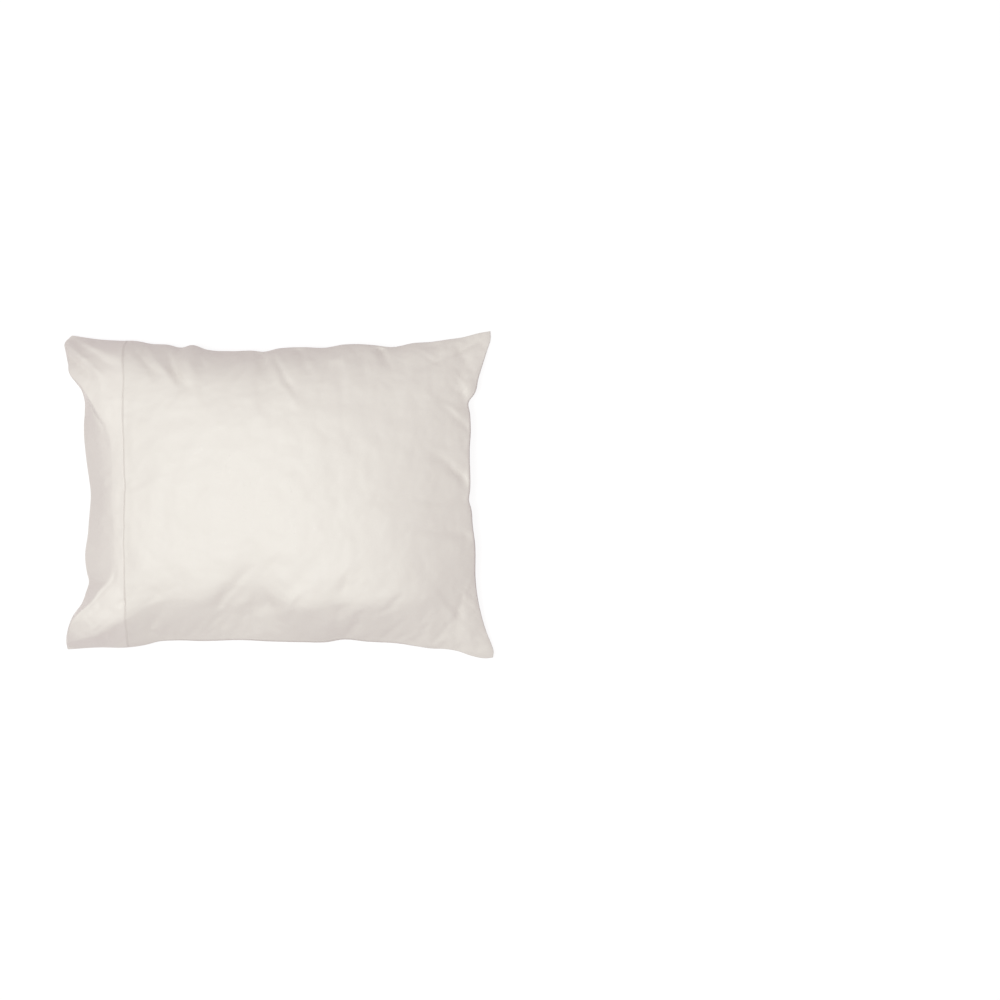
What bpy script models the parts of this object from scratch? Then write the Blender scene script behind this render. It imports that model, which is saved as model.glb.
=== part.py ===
# Filled pillowcase lying on its back, one sewn piece of cotton cloth.
# Metres, +Z up. X runs from the open end (-X, inside a deep turned hem) to the closed end (+X),
# Y runs across the case, and the origin is under the middle of its outline, on the surface.

import math

import bpy
import numpy as np

MM = 0.001

# Driving sizes
CROWN_TOP = 156.0 * MM        # height of the crown above the surface
CROWN_X = -30.0 * MM          # where along the case the crown is highest
CROWN_DROP = 52.0 * MM        # how much lower the crown lies at its reach from there
CROWN_REACH = 350.0 * MM
CROWN_TWIST = 0.4             # how the high line turns towards -Y on its way to the closed end
BELLY_DROP = 120.0 * MM       # how far the back would hang below the seam with nothing under it
SETTLE_BLEND = 7.0 * MM       # rounding where the back leaves the surface
LIP_HALF = 1.5 * MM           # half the thickness of the seam that joins front and back
HEM_WALL = 2.4 * MM           # thickness of the turned hem at the mouth
HEM_WALL_SHARE = 0.36         # the most of the mouth's height that one side of the hem may take
HEM_LENGTH = 90.0 * MM        # mouth edge to hem stitching, measured along the outline
STITCH_DEPTH = 1.2 * MM       # how deep the hem stitching draws into the face
STITCH_HALF = 4.0 * MM        # half the width of the groove that it makes
STITCH_SPREAD = 2.0 * MM      # how far the groove's soft profile spreads
MOUTH_DEPTH = 48.0 * MM       # how far the mouth goes in before the filled part of the case
MOUTH_SHARE = 0.19            # share of the full rise at the mouth edge, which sets its gap
MOUTH_FLARE = 5.0 * MM        # how much each side of the mouth opens up inside its edge
MOUTH_OPEN_GAP = 6.0 * MM     # gap from which the mouth goes in to its full depth
MOUTH_SIDE_RUN = 40.0 * MM    # distance from a side seam at which it has that depth
SEAM_FADE = 110.0 * MM        # how far in from a seam its drawn-in line is felt
END_FADE = 140.0 * MM         # the same for the closed end
RIM_SHARE = 0.12              # folds run out where the rise is less than this share
STEEP = 1.08                  # how sharply the steep strip of the hem rounds over at its top

# Grid of each face: cells, how strongly they crowd towards the seams, and the clear space,
# in groove half widths, that the line of stitching keeps from other grid lines
CELLS_ALONG = 56
CELLS_ACROSS = 42
CROWD_ALONG = 0.30
CROWD_ACROSS = 0.40
GROOVE_CLEAR = 2.2

# Corners of the outline, seen from above (millimetres): x, y
MOUTH_BACK = (-321.0, 245.5)
MOUTH_FRONT = (-328.0, -239.0)
END_BACK = (324.0, 253.0)
END_FRONT = (328.0, -252.0)

# Long seam at +Y, drawn in between the corners and notched where the cloth tucks: x, y
BACK_SEAM = (
    (-321, 245.5), (-282, 239.5), (-245, 236.5), (-220, 235.5), (-196, 230.5), (-171, 228.5),
    (-148, 223.5), (-134, 227), (-110, 219.5), (-73, 217), (-37, 217.5), (-24, 216), (0, 221),
    (37, 223), (73, 222.5), (98, 227), (122, 228), (147, 226.5), (173, 224), (208, 231),
    (233, 233.5), (257, 238), (282, 242.5), (306, 249.5), (324, 253),
)
# Long seam at -Y: x, y
FRONT_SEAM = (
    (-328, -239), (-282, -236), (-233, -235), (-208, -231), (-184, -224.5), (-159, -222.5),
    (-110, -222.5), (-60, -221), (-12, -223), (37, -224), (73, -224), (98, -220), (135, -223.5),
    (184, -227.5), (208, -232), (233, -236.5), (257, -238), (275, -241.5), (294, -248.5), (318, -253),
    (328, -252),
)
# Mouth edge, from the +Y ear past the sunken middle to the -Y ear: y, x
MOUTH_EDGE = (
    (245.5, -321), (236, -329), (218, -327.5), (200, -323), (181, -318), (172, -310.5),
    (163, -303), (145, -296), (126, -295), (108, -296), (62, -292.5), (34, -288.5), (2, -284.5),
    (-30, -286.5), (-57, -289), (-99, -294), (-122, -291), (-132, -289), (-149, -294),
    (-167, -301), (-186, -315), (-213, -325.5), (-239, -328),
)
# Closed end seam: y, x
CLOSED_END = (
    (253, 324), (239, 324), (227, 320), (209, 314), (181, 305), (154, 297.5), (144, 290),
    (123, 291.5), (99, 292.5), (71, 291), (7, 291.5), (-11, 290), (-21, 293), (-48, 295.5),
    (-76, 299), (-131, 300), (-158, 303.5), (-195, 312.5), (-213, 318.5), (-232, 326), (-243, 329),
    (-252, 328),
)
# Line of the hem stitching: y, x
HEM_ROW = (
    (-234, -235), (-190, -231), (-150, -229), (-108, -228.5), (-50, -226), (0, -225), (50, -225.5),
    (99, -227), (160, -231), (206, -235), (238, -236.5),
)
# Height of the seam above the surface, by the share of the way along it: share, height
LONG_SEAM_HEIGHT = (
    (0.0, 21), (0.08, 29), (0.2, 46), (0.35, 58), (0.55, 62), (0.75, 55), (0.9, 39), (1.0, 23),
)
MOUTH_SEAM_HEIGHT = (
    (0.0, 21), (0.1, 32), (0.2, 43), (0.33, 52), (0.5, 56), (0.66, 53), (0.8, 44), (0.9, 33),
    (1.0, 21),
)
END_SEAM_HEIGHT = (
    (0.0, 14), (0.15, 36), (0.3, 52), (0.5, 60), (0.7, 55), (0.85, 38), (1.0, 8),
)
# The hem drops steeply to the mouth between the flat ears.
# y of a station, width of the steep strip, share of the rise kept at its upper edge, and how
# fast the rise is full beyond it
HEM_SHOULDER = (
    (-239, 3, 0.18, 40), (-222, 5, 0.44, 44), (-207, 6, 0.69, 48), (-192, 8, 0.84, 48),
    (-175, 15, 0.89, 40), (-159, 26, 0.89, 30), (-144, 34, 0.905, 24), (-129, 45, 0.915, 18),
    (-113, 56, 0.925, 14), (-68, 53, 0.93, 12), (-30, 46, 0.93, 12), (0, 43, 0.93, 12),
    (25, 48, 0.93, 12), (52, 54, 0.93, 12), (92, 51, 0.93, 12), (105, 44, 0.93, 13),
    (117, 37, 0.93, 14), (133, 28, 0.93, 16), (145, 22, 0.92, 20), (160, 15, 0.905, 30),
    (173, 9, 0.85, 36), (186, 6, 0.77, 40), (205, 5, 0.60, 40), (222, 5, 0.42, 40), (244, 3, 0.18, 40),
)
# How the filling lifts the cloth. The -Y side is one even slope with a brow at its top:
# distance from the seam in slope lengths, share of the full rise
FRONT_SIDE = (
    (0, 0.0), (0.2, 0.16), (0.5, 0.40), (0.8, 0.65), (1.0, 0.81), (1.1, 0.87), (1.25, 0.915),
    (1.6, 0.95), (2.4, 0.98), (3.6, 1),
)
# Length of that slope: x, length
FRONT_REACH = (
    (-328, 8), (-303, 12), (-272, 19), (-257, 26), (-234, 37), (-215, 44), (-196, 51), (-165, 57),
    (-119, 58), (-80, 66), (-45, 76), (-20, 78), (5, 58), (34, 48), (80, 52), (133, 60), (150, 48),
    (176, 56), (202, 56), (230, 56), (260, 52), (300, 40), (328, 26),
)
# The +Y side stands up at the seam and then leans back: x, how far in it leans, upright share
BACK_LEAN = (
    (-326, 9, 0.10), (-240, 12, 0.10), (-196, 13, 0.10), (-119, 16, 0.10), (-43, 20, 0.12),
    (34, 26, 0.14), (110, 42, 0.20), (187, 62, 0.24), (260, 64, 0.24), (328, 50, 0.24),
)
# The closed end rises slowly: distance from its seam, share of the full rise
END_SIDE = (
    (0, 0.0), (3, 0.065), (8, 0.15), (30, 0.37), (50, 0.54), (64, 0.635), (92, 0.775), (112, 0.84),
    (140, 0.905), (165, 0.94), (200, 0.97), (260, 0.99), (330, 1.0),
)
UPRIGHT_RUN = 7.0             # how far the upright part of the +Y side reaches in, in millimetres
EAR_SLACK = 0.8               # how much flatter the unfilled corners lie

# Folds of the front face: start and end on the plan, depth (a ridge is negative), half width
# x0, y0, x1, y1, depth, width
FRONT_FOLDS = (
    # from the +Y seam, in order from the hem to the closed end
    (-196, 228, -136, 160, 8.0, 12),
    (-160, 214, -128, 176, -3.5, 9),
    (-147, 222, -118, 180, 8.0, 11),
    (-112, 206, -60, 128, 4.5, 16),
    (-48, 202, -30, 164, 4.5, 10),
    (-24, 219, 2, 163, 9.0, 12),
    (-8, 218, 38, 122, 7.0, 11),
    (28, 221, 66, 178, 6.5, 12),
    (89, 200, 108, 146, 5.0, 12),
    (118, 212, 138, 168, 6.5, 12),
    (147, 224, 165, 190, 7.0, 11),
    (316, 248, 240, 198, -7.0, 12),
    # from the closed end, +Y to -Y
    (292, 145, 266, 178, 8.0, 11),
    (291, 106, 252, 123, 6.0, 11),
    (291, 14, 240, 52, 7.0, 12),
    (298, -66, 262, -44, 6.0, 10),
    (309, -180, 278, -134, -5.0, 11),
    (320, -226, 250, -146, -7.0, 13),
    # from the -Y seam, closed end to hem
    (172, -206, 178, -154, 6.5, 12),
    (102, -206, 142, -148, 6.0, 13),
    (-4, -196, 42, -162, -5.0, 11),
    (-26, -162, 36, -108, 7.5, 13),
    (-102, -162, -16, -94, 8.0, 14),
    (-196, -188, -158, -154, -5.0, 11),
    (-234, -166, -211, -142, 4.0, 9),
    # on the ears of the hem
    (-322, -230, -238, -176, -6.0, 13),
    (-318, 236, -254, 190, 7.0, 11),
    (-326, 228, -260, 180, -4.0, 9),
)
# Folds of the back face, which is pulled towards the same notches in the seams
BACK_FOLDS = (
    (-148, 222, -120, 186, 4.0, 10),
    (-24, 218, -14, 176, 4.5, 10),
    (173, 222, 158, 184, 4.0, 10),
    (98, -220, 92, -178, 4.0, 10),
    (292, 145, 258, 122, 4.0, 10),
    (292, -11, 256, -22, 4.0, 10),
)

CLOTH_COLOUR = (0.84, 0.80, 0.74, 1.0)
CLOTH_ROUGHNESS = 0.82


# Smooth curve through rows of (station, value), read at any stations
def curve(rows, stations, column=1):
    table = np.array(sorted(rows), dtype=float)
    knots, values = table[:, 0], table[:, column]
    slopes = np.gradient(values, knots)
    at = np.clip(stations, knots[0], knots[-1])
    left = np.clip(np.searchsorted(knots, at, side="right") - 1, 0, len(knots) - 2)
    span = knots[left + 1] - knots[left]
    t = (at - knots[left]) / span
    return (
        values[left] * (1 + 2 * t) * (1 - t) ** 2
        + slopes[left] * span * t * (1 - t) ** 2
        + values[left + 1] * t * t * (3 - 2 * t)
        + slopes[left + 1] * span * t * t * (t - 1)
    )


# Share of the way between two values
def mix(low, high, share):
    return low + (high - low) * share


# Falls from 1 at a seam to 0 at the fade distance, level at both ends
def fade(distance, reach):
    t = np.clip(1.0 - distance / reach, 0.0, 1.0)
    return t * t * (3.0 - 2.0 * t)


# Stations from 0 to 1 that crowd towards both ends
def crowded(cells, crowd):
    even = np.linspace(0.0, 1.0, cells + 1)
    return (1.0 - crowd) * even + crowd * 0.5 * (1.0 - np.cos(math.pi * even))


# Stations along the case, with three lines for the groove of the hem stitching
def stations_along(hem_share):
    line = crowded(CELLS_ALONG, CROWD_ALONG)
    groove = STITCH_HALF / (HEM_LENGTH / hem_share)
    clear = line[np.abs(line - hem_share) > GROOVE_CLEAR * groove]
    return np.sort(np.append(clear, (hem_share - groove, hem_share, hem_share + groove)))


# Plan of the case: where each station along and across lies, seen from above
def plan(along, across, hem_share):
    u, v = np.meshgrid(along, across, indexing="ij")
    mouth_y = mix(MOUTH_FRONT[1], MOUTH_BACK[1], v)
    end_y = mix(END_FRONT[1], END_BACK[1], v)
    mouth_x = curve(MOUTH_EDGE, mouth_y)
    hem_x = curve(HEM_ROW, mouth_y)
    end_line = mix(END_FRONT[0], END_BACK[0], v)
    in_hem = mix(mouth_x, hem_x, np.clip(u / hem_share, 0.0, 1.0))
    body = np.clip((u - hem_share) / (1.0 - hem_share), 0.0, 1.0)
    in_body = mix(hem_x, end_line, body)
    from_end = (1.0 - body) * (end_line - hem_x) * MM
    in_body = in_body + (curve(CLOSED_END, end_y) - end_line) * fade(from_end, END_FADE)
    x = np.where(u < hem_share, in_hem, in_body)

    low_chord = np.interp(x, (MOUTH_FRONT[0], END_FRONT[0]), (MOUTH_FRONT[1], END_FRONT[1]))
    high_chord = np.interp(x, (MOUTH_BACK[0], END_BACK[0]), (MOUTH_BACK[1], END_BACK[1]))
    chord = (high_chord - low_chord) * MM
    y = mix(low_chord, high_chord, v)
    y = y + (curve(FRONT_SEAM, x) - low_chord) * fade(v * chord, SEAM_FADE)
    y = y + (curve(BACK_SEAM, x) - high_chord) * fade((1.0 - v) * chord, SEAM_FADE)
    return u, v, x * MM, y * MM


# Height of the seams, carried smoothly across the case
def seam_height(u, v):
    end_seam = np.where(u < 0.5, curve(MOUTH_SEAM_HEIGHT, v), curve(END_SEAM_HEIGHT, v))
    corner = curve(LONG_SEAM_HEIGHT, np.where(u < 0.5, 0.0, 1.0))
    near_end = np.abs(2.0 * u - 1.0) ** 1.5
    return (curve(LONG_SEAM_HEIGHT, u) + (end_seam - corner) * near_end) * MM


# Share of the full rise: 0 at the seams, 1 on the crown, steep strip at the mouth.
# Distances are taken on the plan, in millimetres, from the seams as they are drawn in.
def filling(x, y):
    from_front = np.clip(y - curve(FRONT_SEAM, x), 0.0, None)
    from_back = np.clip(curve(BACK_SEAM, x) - y, 0.0, None)
    from_mouth = np.clip(x - curve(MOUTH_EDGE, y), 0.0, None)
    from_end = np.clip(curve(CLOSED_END, y) - x, 0.0, None)

    near_front = curve(FRONT_SIDE, from_front / curve(FRONT_REACH, x))
    upright = curve(BACK_LEAN, x, 2)
    near_back = upright * (1.0 - np.exp(-from_back / UPRIGHT_RUN))
    near_back = near_back + (1.0 - upright) * (1.0 - np.exp(-from_back / curve(BACK_LEAN, x, 1)))
    sides = near_front * near_back
    end = curve(END_SIDE, from_end)

    strip = curve(HEM_SHOULDER, y, 1)
    shoulder = curve(HEM_SHOULDER, y, 2)
    climb = 1.0 - (1.0 - np.clip(from_mouth / strip, 0.0, 1.0)) ** STEEP
    run = curve(HEM_SHOULDER, y, 3)
    beyond = 1.0 - np.exp(-np.clip(from_mouth - strip, 0.0, None) / run)
    mouth = mix(MOUTH_SHARE, shoulder, climb) + (1.0 - shoulder) * beyond
    ends = np.clip(end * mouth, 0.0, 1.0)
    return sides * ends * (1.0 - EAR_SLACK * (1.0 - sides) * (1.0 - ends))


# Depth of all folds at each point: full at the start of a fold, running out at its end
def folds(rows, x, y):
    depth = np.zeros_like(x)
    for x0, y0, x1, y1, deep, width in rows:
        run = np.array((x1 - x0, y1 - y0)) * MM
        reach = float(run @ run)
        px, py = x - x0 * MM, y - y0 * MM
        share = np.clip((px * run[0] + py * run[1]) / reach, 0.0, 1.0)
        away = np.hypot(px - share * run[0], py - share * run[1])
        depth += deep * MM * np.exp(-(away / (width * MM)) ** 2) * (1.0 - share) ** 0.8
    return depth


# The back settles flat on the surface, with a rounded edge to the flat patch
def settle(height):
    curved = (height + SETTLE_BLEND) ** 2 / (4.0 * SETTLE_BLEND)
    settled = np.where(height > SETTLE_BLEND, height, curved)
    return np.where(height < -SETTLE_BLEND, 0.0, settled)


# Front and back faces on one grid, as arrays of points
def faces_of_case():
    hem_share = HEM_LENGTH / (HEM_LENGTH + (END_BACK[0] - HEM_ROW[-1][1]) * MM)
    along = stations_along(hem_share)
    across = crowded(CELLS_ACROSS, CROWD_ACROSS)
    u, v, x, y = plan(along, across, hem_share)
    seam = seam_height(u, v)
    share = filling(x / MM, y / MM)
    from_hem = (u - hem_share) * HEM_LENGTH / hem_share
    clear_of_rim = np.clip(share / RIM_SHARE, 0.0, 1.0)
    stitches = STITCH_DEPTH * np.exp(-(from_hem / STITCH_SPREAD) ** 2)
    past_crown = x - CROWN_X
    beside_crown = y + CROWN_TWIST * np.clip(past_crown, 0.0, None)
    from_crown = np.hypot(past_crown, beside_crown) / CROWN_REACH
    crown = CROWN_TOP - CROWN_DROP * from_crown ** 2
    top = mix(seam, crown, share) + LIP_HALF
    top = top - (folds(FRONT_FOLDS, x, y) + stitches) * clear_of_rim
    under = seam - LIP_HALF - BELLY_DROP * share
    under = settle(under + folds(BACK_FOLDS, x, y) * clear_of_rim)
    return np.stack((x, y, top), axis=-1), np.stack((x, y, under), axis=-1)


# The mouth at each station across: points from the front hem's inner edge, in along its inside,
# round the filled part of the case and out along the inside of the back hem
def mouth_pocket(top, under):
    rings = []
    first, last = top[0][0][1], top[0][-1][1]
    for front, back in zip(top[0], under[0]):
        tall = front[2] - back[2]
        from_side = min(abs(front[1] - first), abs(last - front[1]))
        wall = np.array((0.0, 0.0, min(HEM_WALL, HEM_WALL_SHARE * tall)))
        open_share = min(1.0, (tall - 2.0 * wall[2]) / MOUTH_OPEN_GAP, from_side / MOUTH_SIDE_RUN)
        inward = np.array((MOUTH_DEPTH * open_share, 0.0, 0.0))
        flare = np.array((0.0, 0.0, MOUTH_FLARE * open_share))
        upper = front - wall
        lower = back + wall
        rings.append((
            upper, upper + 0.5 * inward + 0.7 * flare, upper + inward + flare,
            0.5 * (upper + lower) + 0.9 * inward,
            lower + inward - flare, lower + 0.5 * inward - 0.7 * flare, lower,
        ))
    return rings


# Faces of the two sides and the three sewn seams, with point numbers from front() and back()
def sewn_faces(rows, columns, front, back):
    faces = []
    last, end = columns - 1, rows - 1
    for i in range(end):
        for j in range(last):
            faces.append((front(i, j), front(i + 1, j), front(i + 1, j + 1), front(i, j + 1)))
            faces.append((back(i, j), back(i, j + 1), back(i + 1, j + 1), back(i + 1, j)))
        faces.append((front(i, 0), back(i, 0), back(i + 1, 0), front(i + 1, 0)))
        faces.append((front(i, last), front(i + 1, last), back(i + 1, last), back(i, last)))
    for j in range(last):
        faces.append((front(end, j), back(end, j), back(end, j + 1), front(end, j + 1)))
    return faces


# Faces of the mouth between neighbouring stations, closed to a point at each ear
def mouth_faces(paths, corners):
    faces = []
    for here, there in zip(paths, paths[1:]):
        for k in range(len(here) - 1):
            faces.append((here[k], there[k], there[k + 1], here[k + 1]))
    for path, (tip_front, tip_back), flip in zip((paths[0], paths[-1]), corners, (False, True)):
        half = len(path) // 2
        fan = [(tip_front, path[k], path[k + 1]) for k in range(half - 1)]
        fan.append((tip_front, path[half - 1], path[half], tip_back))
        fan.extend((tip_back, path[k], path[k + 1]) for k in range(half, len(path) - 1))
        faces.extend(tuple(reversed(face)) if flip else face for face in fan)
    return faces


# One closed mesh, its outline centred on the origin
def build_case():
    top, under = faces_of_case()
    pocket = mouth_pocket(top, under)
    rows, columns = top.shape[:2]
    face_points = rows * columns
    points = np.concatenate((top.reshape(-1, 3), under.reshape(-1, 3), *pocket[1:-1]))
    shift = 0.5 * (points.min(axis=0) + points.max(axis=0))
    points[:, :2] -= shift[:2]

    def front(i, j):
        return i * columns + j

    def back(i, j):
        return face_points + i * columns + j

    paths = []
    depth_points = len(pocket[0])
    for j in range(1, columns - 1):
        first = 2 * face_points + (j - 1) * depth_points
        inside = list(range(first, first + depth_points))
        paths.append([front(0, j)] + inside + [back(0, j)])
    last = columns - 1
    corners = ((front(0, 0), back(0, 0)), (front(0, last), back(0, last)))

    mesh = bpy.data.meshes.new("pillowcase")
    faces = sewn_faces(rows, columns, front, back) + mouth_faces(paths, corners)
    mesh.from_pydata(points.tolist(), [], faces)
    mesh.shade_smooth()
    mesh.set_sharp_from_angle(angle=math.radians(50))
    return mesh


# Cotton cloth: pale warm white, without gloss
def cotton():
    material = bpy.data.materials.new("cotton cloth")
    material.use_nodes = True
    shader = material.node_tree.nodes["Principled BSDF"]
    shader.inputs["Base Color"].default_value = CLOTH_COLOUR
    shader.inputs["Roughness"].default_value = CLOTH_ROUGHNESS
    shader.inputs["Metallic"].default_value = 0.0
    return material


def main():
    for old in list(bpy.data.objects):
        bpy.data.objects.remove(old)
    case = bpy.data.objects.new("pillowcase", build_case())
    case.data.materials.append(cotton())
    bpy.context.scene.collection.objects.link(case)


main()
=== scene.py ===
# Filled cotton pillowcase on a pale floor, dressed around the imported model.
# Metres, +Z up. X runs from the open, hemmed end (-X) to the closed end (+X), Y across the case.
import math

import bpy
import numpy as np
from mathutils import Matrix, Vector, noise


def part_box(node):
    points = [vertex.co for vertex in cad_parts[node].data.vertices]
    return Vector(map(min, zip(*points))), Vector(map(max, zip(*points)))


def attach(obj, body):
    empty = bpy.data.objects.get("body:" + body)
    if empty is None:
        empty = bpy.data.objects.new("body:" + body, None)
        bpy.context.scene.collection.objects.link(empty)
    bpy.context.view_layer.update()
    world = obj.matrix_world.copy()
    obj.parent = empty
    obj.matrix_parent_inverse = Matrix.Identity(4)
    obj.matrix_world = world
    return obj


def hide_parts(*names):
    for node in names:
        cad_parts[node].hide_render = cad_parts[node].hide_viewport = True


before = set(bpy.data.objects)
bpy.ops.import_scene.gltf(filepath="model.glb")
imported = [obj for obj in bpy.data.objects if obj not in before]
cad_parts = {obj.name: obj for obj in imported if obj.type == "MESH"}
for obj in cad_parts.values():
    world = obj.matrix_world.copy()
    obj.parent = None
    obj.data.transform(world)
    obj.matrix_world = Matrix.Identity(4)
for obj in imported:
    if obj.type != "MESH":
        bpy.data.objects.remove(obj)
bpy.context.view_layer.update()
mm = 0.001
print("frame loaded")


# The case: sizes and the lines that shape it, all in millimetres.

case = {
    "name": "pillowcaseCloth",
    "fill": 0.72,             # how full the case is
    "crownTop": 156.0,        # height of the crown
    "crownX": -30.0,          # where it is highest
    "crownDrop": 52.0,        # how much lower it lies at the reach from there
    "crownReach": 350.0,
    "crownTwist": 0.4,        # how its high line turns to -Y on the way to the closed end
    "bellyDrop": 120.0,       # how far the back would hang below the seam
    "settleBlend": 7.0,       # rounding where the back leaves the floor
    "lipHalf": 1.5,           # half the thickness of the side seams
    "hemLength": 90.0,        # mouth edge to hem stitching
    "hemWall": 2.4,           # thickness of the turned hem
    "hemWallShare": 0.36,     # most of the mouth's height that one side of the hem takes
    "rimRound": 0.9,          # how far the turned edge of the hem rounds out
    "rimInside": 0.4,         # how far in from the mouth edge its rounding ends
    "mouthDepth": 48.0,       # how deep the mouth goes in
    "mouthShare": 0.19,       # rise left at the mouth edge, which sets its gap
    "mouthFlare": 5.0,        # how much the mouth opens inside its edge
    "openGap": 6.0,           # gap from which the mouth has its full depth
    "sideRun": 40.0,          # distance from a side seam at which it has it
    "seamFade": 110.0,        # how far a long seam's drawn-in line is felt
    "endFade": 140.0,         # the same for the closed end
    "rimShare": 0.18,         # folds run out where the rise is less than this share
    "steep": 1.22,            # how sharply the steep strip of the hem rounds over
    "uprightRun": 7.0,        # how far the upright part of the +Y side reaches in
    "earSlack": 0.8,          # how much flatter the unfilled corners lie at the mouth
    "endSlack": 0.25,         # and at the closed end
    "slackFrom": -150.0,      # where along the case the one turns into the other
    "slackTo": 200.0,
    "cornerBlend": 1.5,       # how late a long seam's height turns into that of the end
    "mouthBack": (-321.0, 245.5),  # x, y of the four corners
    "mouthFront": (-328.0, -239.0),
    "endBack": (324.0, 253.0),
    "endFront": (328.0, -252.0),
}

meshing = {
    "cellsAlong": 222,
    "cellsAcross": 176,
    "crowdAlong": 0.55,       # how much closer the lines lie at the edges
    "crowdAcross": 0.6,
    "rowLines": (-6.0, -4.0, -2.6, -1.5, -0.7, 0.0, 0.7, 1.5, 2.6, 4.0, 6.0, 8.0),  # round the hem stitching
    "rowClear": 1.6,          # least space to the next line
}

backSeam = (  # x, y of the +Y seam
    (-321, 245.5), (-282, 239.5), (-245, 236.5), (-220, 235.5), (-196, 230.5), (-171, 228.5),
    (-148, 223.5), (-134, 227), (-110, 219.5), (-73, 217), (-37, 217.5), (-24, 216), (0, 221),
    (37, 223), (73, 222.5), (98, 227), (122, 228), (147, 226.5), (173, 224), (208, 231),
    (233, 233.5), (257, 238), (282, 242.5), (306, 249.5), (324, 253),
)
frontSeam = (  # x, y of the -Y seam
    (-328, -239), (-282, -236), (-233, -235), (-208, -231), (-184, -224.5), (-159, -222.5),
    (-110, -222.5), (-60, -221), (-12, -223), (37, -224), (73, -224), (98, -220), (135, -223.5),
    (184, -227.5), (208, -232), (233, -236.5), (257, -238), (275, -241.5), (294, -248.5), (318, -253),
    (328, -252),
)
mouthEdge = (  # y, x of the open edge
    (245.5, -321), (236, -329), (218, -327.5), (200, -323), (181, -318), (172, -310.5),
    (163, -303), (145, -296), (126, -295), (108, -296), (62, -292.5), (34, -288.5), (2, -284.5),
    (-30, -286.5), (-57, -289), (-99, -294), (-122, -291), (-132, -289), (-149, -294),
    (-167, -301), (-186, -315), (-213, -325.5), (-239, -328),
)
closedEnd = (  # y, x of the closed end
    (253, 324), (239, 324), (227, 320), (209, 314), (181, 305), (154, 297.5), (144, 290),
    (123, 291.5), (99, 292.5), (71, 291), (7, 291.5), (-11, 290), (-21, 293), (-48, 295.5),
    (-76, 299), (-131, 300), (-158, 303.5), (-195, 312.5), (-213, 318.5), (-232, 326), (-243, 329),
    (-252, 328),
)
hemRow = (  # y, x of the hem stitching
    (-234, -232.5), (-190, -227), (-150, -226), (-108, -227.5), (-50, -227.5), (0, -225.5), (50, -227),
    (99, -228), (145, -228.5), (185, -229), (206, -231), (238, -234),
)
longSeamHeight = (  # share of the way along, height
    (0.0, 21), (0.08, 29), (0.2, 46), (0.35, 58), (0.55, 62), (0.75, 55), (0.9, 39), (1.0, 23),
)
mouthSeamHeight = (
    (0.0, 21), (0.1, 32), (0.2, 43), (0.33, 52), (0.5, 56), (0.66, 53), (0.8, 44), (0.9, 33),
    (1.0, 21),
)
endSeamHeight = (
    (0.0, 14), (0.15, 36), (0.3, 52), (0.5, 60), (0.7, 55), (0.85, 38), (1.0, 8),
)
hemShoulder = (  # y, width of the steep strip at the mouth, share of the rise at its top, run beyond
    (-239, 3, 0.18, 40), (-222, 5, 0.44, 44), (-207, 6, 0.69, 48), (-192, 8, 0.86, 48),
    (-175, 13, 0.91, 40), (-159, 22, 0.93, 30), (-144, 29, 0.94, 24), (-129, 40, 0.935, 18),
    (-113, 51, 0.93, 14), (-68, 49, 0.93, 12), (-30, 42, 0.93, 12), (0, 38.5, 0.93, 12),
    (25, 41.5, 0.93, 12), (52, 45, 0.935, 12), (92, 43, 0.955, 12), (105, 37, 0.97, 13),
    (117, 29, 0.975, 14), (133, 20, 0.97, 16), (145, 13, 0.955, 20), (160, 8, 0.92, 30),
    (173, 6, 0.87, 36), (186, 5, 0.78, 40), (205, 5, 0.60, 40), (222, 5, 0.42, 40), (245, 3, 0.18, 40),
)
frontSide = (  # distance from the -Y seam in slope lengths, share of the rise: a slope, then its brow
    (0, 0.0), (0.2, 0.16), (0.5, 0.40), (0.8, 0.65), (1.0, 0.81), (1.1, 0.87), (1.25, 0.915),
    (1.6, 0.95), (2.4, 0.98), (3.6, 1),
)
frontReach = (  # x, length of that slope
    (-328, 8), (-303, 12), (-272, 19), (-257, 26), (-234, 37), (-215, 44), (-196, 50), (-165, 55),
    (-119, 58), (-80, 66), (-45, 76), (-20, 76), (5, 60), (34, 50), (80, 49), (133, 51), (176, 54),
    (202, 60), (230, 74), (260, 92), (300, 90), (328, 50),
)
backLean = (  # x, how far in from the +Y seam the cloth leans back, share that stands up at the seam
    (-326, 9, 0.10), (-240, 14, 0.10), (-196, 18, 0.11), (-119, 23, 0.13), (-43, 28, 0.15),
    (34, 31, 0.16), (110, 42, 0.22), (187, 60, 0.30), (260, 60, 0.33), (328, 46, 0.33),
)
endSide = (  # distance from the closed end, share of the rise
    (0, 0.0), (3, 0.05), (8, 0.12), (30, 0.345), (50, 0.53), (64, 0.642), (92, 0.797), (112, 0.871),
    (140, 0.935), (165, 0.965), (200, 0.984), (260, 0.995), (330, 1.0),
)

folding = {
    "wander": 1.8,            # how far a fold strays from its line (mm)
    "wanderSize": 30.0,
    "wanderSeeds": (51.0, 57.0),
    "crisp": 0.3,             # how much steeper its +X side is
    "start": 0.3,             # share of its length over which it deepens
    "runOut": 0.7,            # how bluntly it ends
    "creaseEnds": 0.5,        # how bluntly a crease line ends
}

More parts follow.
